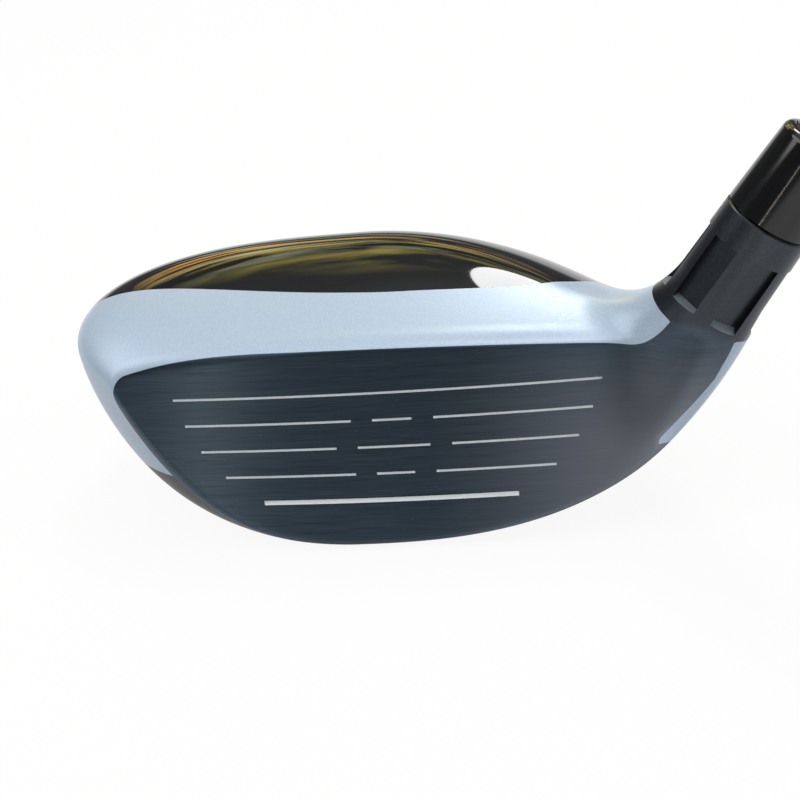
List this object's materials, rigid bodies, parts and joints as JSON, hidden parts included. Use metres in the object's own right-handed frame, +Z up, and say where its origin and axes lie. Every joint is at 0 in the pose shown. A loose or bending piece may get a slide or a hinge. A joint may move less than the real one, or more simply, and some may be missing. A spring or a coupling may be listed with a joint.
{
  "type": "hybrid golf club",
  "caption": "Hybrid golf club with a rounded hollow metal head, scored black face, fluted hosel, ferrule, tapered shaft and rubber grip.",
  "frame": {"origin": "on the flat patch under the sole where the club rests at address, below the middle of the score lines", "axes": "+X from toe to heel, +Y from the face to the rear, +Z up"},
  "size_m": [0.6441, 0.0583, 0.864],
  "materials": {
    "pearl_silver": "satin pearl silver paint on cast metal, black on the sole and the rear",
    "brushed_black": "black brushed metal with pale score lines",
    "gloss_black": "gloss black lacquer",
    "black_polymer": "matte",
    "steel": "machined",
    "resin": "cured",
    "ferrule_black": "polished",
    "carbon_black": "clear lacquer over carbon fibre",
    "paper_tape": "matte",
    "rubber": "moulded"
  },
  "bodies": {
    "root": {"head_body": "pearl_silver", "face_plate": "brushed_black", "crown_panel": "gloss_black", "slot_filler": "black_polymer", "sole_weight": "steel", "hosel_epoxy": "resin", "ferrule": "ferrule_black", "shaft": "carbon_black", "tip_plug": "black_polymer", "grip_tape": "paper_tape", "grip": "rubber", "grip_cap": "rubber"}
  },
  "joints": []
}
